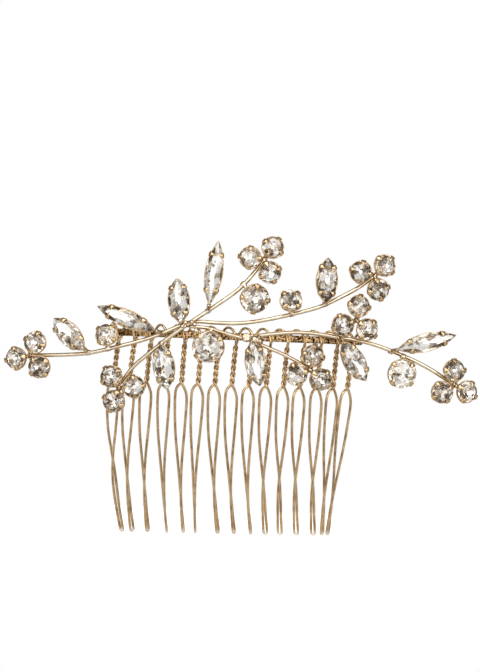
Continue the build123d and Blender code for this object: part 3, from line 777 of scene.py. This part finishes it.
def crystal_piece(name, parts, *nodes):
    """One or more crystals, from (vertices, faces, marks, frame) parts."""
    marks = [mark for part in parts for mark in part[2]]
    verts, faces = joined([(verts, faces, place) for verts, faces, _, place in parts])
    piece = make_piece(name, verts, faces, [GLASS, FOIL], smooth=False)
    polygons = piece.data.polygons
    polygons.foreach_set("material_index", [0 if mark == FRONT else 1 for mark in marks])
    # painted reflections: each back facet gets its own painted tone, swung by noise cells
    tones = []
    for polygon, mark in zip(polygons, marks):
        cell = noise.cell(Vector(polygon.center) * PAINTED_TONE_CELLS + Vector(PAINTED_TONE_START))
        tones.append(abs(cell) % 1.0 * PAINTED_TONE_SWING + mark)
    add_values(piece, "tone", "FACE", tones)
    finish_piece(piece, "crystal", *nodes)


# ---------------------------------------------------------------- claw cups

def outline_points(kind, grow, share=1.0, count=64):
    """The outline of a crystal, scaled by share and then grown, as evenly turned points."""
    if kind in ROUND_RADIUS:
        radius = ROUND_RADIUS[kind] * share + grow
        turns = [2 * pi * k / count for k in range(count)]
        return [(radius * cos(turn), radius * sin(turn)) for turn in turns]
    half_length, half_width = LEAF_SIZE[kind]
    half_length = half_length * share + POINT_GROW * grow
    half_width = half_width * share + grow
    radius = (half_length**2 + half_width**2) / (2 * half_width)
    half_angle = atan2(half_length, radius - half_width)
    points = []
    half = count // 2
    for sign in (1, -1):
        for k in range(half):
            turn = sign * pi / 2 - half_angle * (1 - 2 * k / half)
            points.append((radius * cos(turn), radius * sin(turn) - sign * (radius - half_width)))
    return points


def bowl_data(kind):
    """A thin cup: rings of the outline, out and over the rim and down the inside."""
    depth = -PAVILION[kind] - FIT
    foot = depth - CUP_FLOOR
    outer, inner = RIM_GROW, RIM_GROW - WALL
    # height, growth and share of the outline
    levels = [(foot, outer - CUP_EDGE, CUP_BASE), (foot + CUP_EDGE, outer, CUP_BASE)]
    for k in range(1, BOWL_STEPS):
        share = CUP_BASE + (1 - CUP_BASE) * k / BOWL_STEPS
        levels.append((foot + (COLLAR_FOOT - foot) * k / BOWL_STEPS, outer, share))
    levels.append((COLLAR_FOOT, outer, 1))
    levels += [(CUP_RIM - drop, outer - inset, 1) for drop, inset in RIM_OUTSIDE]
    levels += [(CUP_RIM - drop, inner + inset, 1) for drop, inset in RIM_INSIDE]
    levels += [(COLLAR_FOOT, inner, 1), (depth, inner, CUP_BASE)]
    rings = [[(x, y, z) for x, y in outline_points(kind, grow, share)]
             for z, grow, share in levels]
    return [point for ring in rings for point in ring], ring_faces(len(rings), len(rings[0]))


def claw_headings(kind, first):
    if kind in ROUND_RADIUS:
        return [first + 90 * step for step in range(4)]
    return arc_directions(kind, LEAF_CLAWS)


def claw_data(kind, heading):
    """A claw: a flat tab that rises from the cup's side and folds over, with a plump tip."""
    turn = radians(heading)
    inward = Vector((-cos(turn), -sin(turn), 0))
    side = np.array(Vector((-sin(turn), cos(turn), 0)))
    if kind in ROUND_RADIUS:
        edge = inward * -ROUND_RADIUS[kind]
    else:
        radius = arc_of(kind)[0]
        centre = (radius - LEAF_SIZE[kind][1]) * (-1 if sin(turn) > 0 else 1)
        edge = Vector((radius * cos(turn), radius * sin(turn) + centre, 0))
    slope = CROWN[kind] / (extent(kind, heading) * (1 - TABLE_SHARE))
    stations = list(CLAW_SHAFT)
    for reach, rise, half_width, half_depth in CLAW_TIP:
        height = GIRDLE + slope * reach + CLAW_LIFT + rise
        stations.append((reach, height, half_width, half_depth))
    points = [edge + inward * reach + Vector((0, 0, height)) for reach, height, _, _ in stations]
    line = smooth_line(points, CLAW_SPACING)
    shares = np.linspace(0, len(stations) - 1, len(line))
    widths = np.interp(shares, range(len(stations)), [station[2] for station in stations])
    depths = np.interp(shares, range(len(stations)), [station[3] for station in stations])
    verts = []
    for point, tangent, half_width, half_depth in zip(line, tangents_along(line), widths, depths):
        normal = np.cross(tangent, side)
        for angle in np.linspace(0, 2 * pi, CLAW_SIDES, endpoint=False):
            flat = abs(cos(angle)) ** CLAW_SQUARENESS * (1 if cos(angle) > 0 else -1)
            verts.append(point + side * half_width * flat + normal * half_depth * sin(angle))
    return verts, ring_faces(len(line), CLAW_SIDES, flipped=True)


def cup_data(kind, first):
    """A cup with its claws, the first of them at a heading."""
    upright = Matrix.Identity(4)
    claws = [(*claw_data(kind, heading), upright) for heading in claw_headings(kind, first)]
    return joined([(*bowl_data(kind), upright)] + claws)


def cup_piece(name, parts, *nodes):
    verts, faces = joined(parts)
    piece = make_piece(name, verts, faces, [GOLD_CUP])
    piece.data.set_sharp_from_angle(angle=SHARP)
    finish_piece(piece, "gold_cup", *nodes)


def place_on(line, share):
    """Point at a share of the way along a line of even points."""
    place = share * (len(line) - 1)
    low = min(int(place), len(line) - 2)
    return line[low] + (line[low + 1] - line[low]) * (place - low)


def build_crystals(stems):
    stones = {kind: cut_crystal(kind) for kind in CROWN}
    cups = {(kind, first): cup_data(kind, first) for kind in CROWN for first in (45, 0)}
    buds = []
    for name, kind, stem, share, heading, reach, tilt in LEAVES + BUDS:
        root = place_on(stems[stem], share)
        x = root[0] + reach * cos(radians(heading)) * cos(atan(root[0] / SPRAY_BEND))
        z = root[2] + reach * sin(radians(heading))
        seat = seat_matrix(x, z, GIRDLE_OUT[kind], heading, tilt)
        cup_piece(name + "_cup", [(*cups[kind, 45], seat)], name + "_setting")
        if kind in LEAF_SIZE:
            crystal_piece(name + "_stone", [(*stones[kind], seat)], name + "_crystal")
        else:
            buds.append((*stones[kind], seat))
    crystal_piece("bud_stones", buds, "bud_crystals")
    for name, x, z, heading in CLUSTERS:
        cup_parts, stone_parts = [], []
        for way in (heading, heading + 120, heading + 240):
            cup_x = x + CLUSTER_RADIUS * cos(radians(way))
            cup_z = z + CLUSTER_RADIUS * sin(radians(way))
            seat = seat_matrix(cup_x, cup_z, GIRDLE_OUT[SMALL], way, CLUSTER_TILT)
            cup_parts.append((*cups[SMALL, 0], seat))
            stone_parts.append((*stones[SMALL], seat))
        cup_piece(name + "_cups", cup_parts, name + "_settings")
        crystal_piece(name + "_stones", stone_parts, name + "_crystals")


# ---------------------------------------------------------------- strip and solder

def build_spine():
    """The rolled strip: a flat band with rounded edges and narrowed, rounded ends."""
    half_height, half_thick = SPINE_HEIGHT / 2, SPINE_THICKNESS / 2
    section = []
    for out_sign, up_sign, start in ((1, 1, 0), (-1, 1, 90), (-1, -1, 180), (1, -1, 270)):
        for k in range(5):
            turn = radians(start + 22.5 * k)
            section.append((out_sign * (half_thick - SPINE_EDGE) + SPINE_EDGE * cos(turn),
                            up_sign * (half_height - SPINE_EDGE) + SPINE_EDGE * sin(turn)))
    verts = []
    for along in np.linspace(-SPINE_LENGTH / 2, SPINE_LENGTH / 2, SPINE_RINGS):
        end = min(1.0, (SPINE_LENGTH / 2 - abs(along)) / SPINE_END)
        shrink = END_SIZE + END_SWELL * sqrt(max(0.0, 1 - (1 - end) ** 2))
        for out, up in section:
            spot = [value * pace for value, pace in zip((along, out, up), WAVE_PACE)]
            wave = WAVE * noise.noise(Vector(spot))
            verts.append(on_spine(along, out * shrink + wave, up * shrink))
    piece = make_piece("spine_band", verts, ring_faces(SPINE_RINGS, len(section)), [GOLD_SPINE])
    piece.data.set_sharp_from_angle(angle=SHARP)
    finish_piece(piece, "gold_spine", "spine_strip")


def add_lumps(data):
    """More solder at the two big joints, where it has run along the stems."""
    mesh = bmesh.new()
    mesh.from_mesh(data)
    for x, z, out, radius in LUMPS:
        centre = Matrix.Translation(in_spray(x, z, out) * MM)
        bmesh.ops.create_icosphere(mesh, subdivisions=3, radius=radius * MM, matrix=centre)
    mesh.to_mesh(data)
    mesh.free()


def build_solder():
    """The solder, flowed together: the part's beads remeshed and smoothed into soft blobs."""
    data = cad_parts["solder_joints"].data.copy()
    add_lumps(data)
    data.materials.clear()
    data.materials.append(GOLD_SOLDER)
    piece = bpy.data.objects.new("solder_beads", data)
    bpy.context.scene.collection.objects.link(piece)
    remesh = piece.modifiers.new("flow", "REMESH")
    remesh.mode = "VOXEL"
    remesh.voxel_size = SOLDER_VOXEL * MM
    soft = piece.modifiers.new("soften", "SMOOTH")
    soft.iterations = SOFTENING
    soft.factor = 0.5
    graph = bpy.context.evaluated_depsgraph_get()
    mesh = bpy.data.meshes.new_from_object(piece.evaluated_get(graph))
    piece.modifiers.clear()
    piece.data = mesh
    mesh.shade_smooth()
    finish_piece(piece, "gold_solder", "solder_joints")


# ---------------------------------------------------------------- floor, light and camera

def build_sky():
    """The glow that lights and mirrors in the comb, with plain white for the camera."""
    scene = bpy.context.scene
    scene.view_settings.view_transform = "Standard"
    world = bpy.data.worlds.new("studio")
    scene.world = world
    world.use_nodes = True
    tree = world.node_tree
    tree.nodes.clear()
    split = node(tree, "ShaderNodeSeparateXYZ")
    tree.links.new(node(tree, "ShaderNodeTexCoord").outputs["Generated"], split.inputs[0])
    strength = mapped(tree, split.outputs["Y"], SKY_DIM, SKY_BRIGHT, FIELD_EDGE, FIELD_FULL,
                      interpolation_type="SMOOTHSTEP")
    glow = node(tree, "ShaderNodeBackground", Color=(*SKY_COLOUR, 1))
    tree.links.new(strength, glow.inputs["Strength"])
    plain = node(tree, "ShaderNodeBackground", Color=(1, 1, 1, 1))
    seen = node(tree, "ShaderNodeLightPath")
    mix = node(tree, "ShaderNodeMixShader")
    tree.links.new(seen.outputs["Is Camera Ray"], mix.inputs["Fac"])
    tree.links.new(glow.outputs[0], mix.inputs[1])
    tree.links.new(plain.outputs[0], mix.inputs[2])
    out = node(tree, "ShaderNodeOutputWorld")
    tree.links.new(mix.outputs[0], out.inputs["Surface"])


def softbox(name, place, size, power):
    light = bpy.data.lights.new(name, "AREA")
    light.shape = "RECTANGLE"
    light.size, light.size_y = size
    light.energy = power
    lamp = bpy.data.objects.new(name, light)
    lamp.location = place
    lamp.rotation_euler = (-Vector(place)).to_track_quat("-Z", "Y").to_euler()
    lamp.visible_camera = False
    bpy.context.scene.collection.objects.link(lamp)


def build_floor():
    low, half = cad_box[0], FLOOR_HALF
    corners = [(-half, -half), (half, -half), (half, half), (-half, half)]
    mesh = bpy.data.meshes.new("floor")
    mesh.from_pydata([(x, y, low.z) for x, y in corners], [], [(0, 1, 2, 3)])
    material, tree, shader = new_material("pale_floor")
    shader.inputs["Base Color"].default_value = (*FLOOR_COLOUR, 1)
    shader.inputs["Roughness"].default_value = FLOOR_ROUGHNESS
    shader.inputs["Emission Color"].default_value = (1, 1, 1, 1)
    seen = node(tree, "ShaderNodeLightPath").outputs["Is Camera Ray"]
    tree.links.new(mapped(tree, seen, 0.0, FLOOR_GLOW), shader.inputs["Emission Strength"])
    mesh.materials.append(material)
    floor = bpy.data.objects.new("floor", mesh)
    bpy.context.scene.collection.objects.link(floor)


def build_camera():
    """A long lens straight in front, rolled a little, so that the comb hangs clockwise."""
    data = bpy.data.cameras.new("camera")
    data.lens = data.sensor_width * CAMERA_DISTANCE / PICTURE_HEIGHT
    data.clip_start, data.clip_end = 0.05, 10
    eye = bpy.data.objects.new("camera", data)
    eye.location = (CAMERA_X, SPRAY_Y - CAMERA_DISTANCE, CAMERA_Z)
    look = Matrix.Rotation(radians(90), 4, "X") @ Matrix.Rotation(radians(CAMERA_ROLL), 4, "Z")
    eye.rotation_euler = look.to_euler()
    bpy.context.scene.collection.objects.link(eye)
    bpy.context.scene.camera = eye


build_teeth()
stem_lines = build_stems()
build_crystals(stem_lines)
build_spine()
build_solder()
build_sky()
for box in SOFTBOXES:
    softbox(*box)
build_floor()
build_camera()
